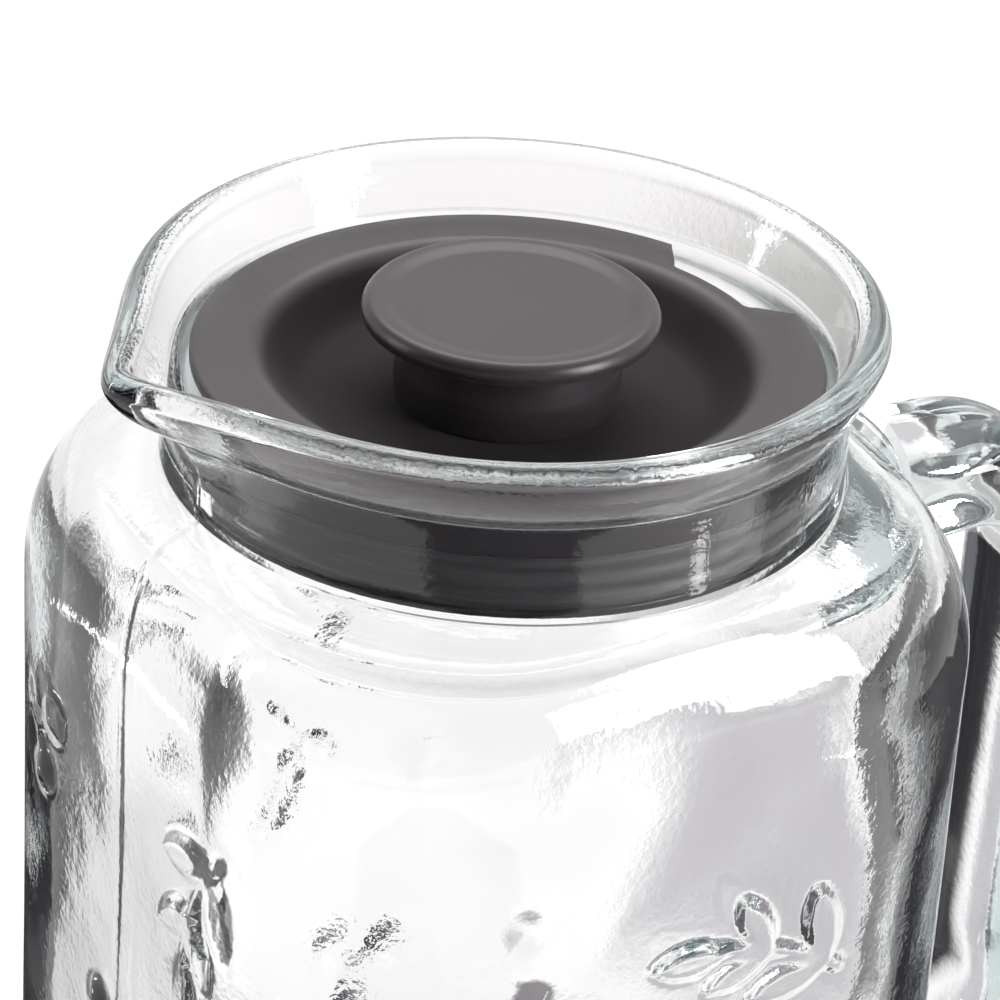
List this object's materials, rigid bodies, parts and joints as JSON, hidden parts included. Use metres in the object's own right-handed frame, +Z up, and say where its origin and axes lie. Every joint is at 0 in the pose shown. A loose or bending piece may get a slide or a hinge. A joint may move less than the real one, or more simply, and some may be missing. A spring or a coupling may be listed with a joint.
{
  "type": "glass pitcher with lid",
  "caption": "Clear glass pitcher with a rounded-square body, pouring spout and glass handle, closed by a dark plastic push-in lid with a mushroom knob and pouring notch.",
  "frame": {"origin": "centre of the plane that the jug stands on, on the axis of the neck", "axes": "+Z up along the axis of the neck; the spout points to -X and the handle to +X; the flat sides face +-X and +-Y"},
  "size_m": [0.1601, 0.113, 0.225],
  "materials": {
    "clear_glass": "clear pressed glass, faintly blue-green in its thick edges, with a soft orange-peel surface",
    "lid_plastic": "fine matte, warm dark grey",
    "seal_rubber": "satin, soft"
  },
  "bodies": {
    "jug": {"jug_body": "clear_glass", "jug_handle": "clear_glass"},
    "seal": {"lid_seal": "seal_rubber"},
    "lid": {"lid_cover": "lid_plastic", "knob_cap": "lid_plastic"}
  },
  "joints": [
    {"name": "lid_lift", "type": "slide", "parent": "jug", "child": "seal", "axis": [0, 0, 1], "range_m": [0, 0.06]},
    {"name": "lid_turn", "type": "hinge", "parent": "seal", "child": "lid", "pos_m": [0, 0, 0.204], "axis": [0, 0, 1], "continuous": true}
  ]
}
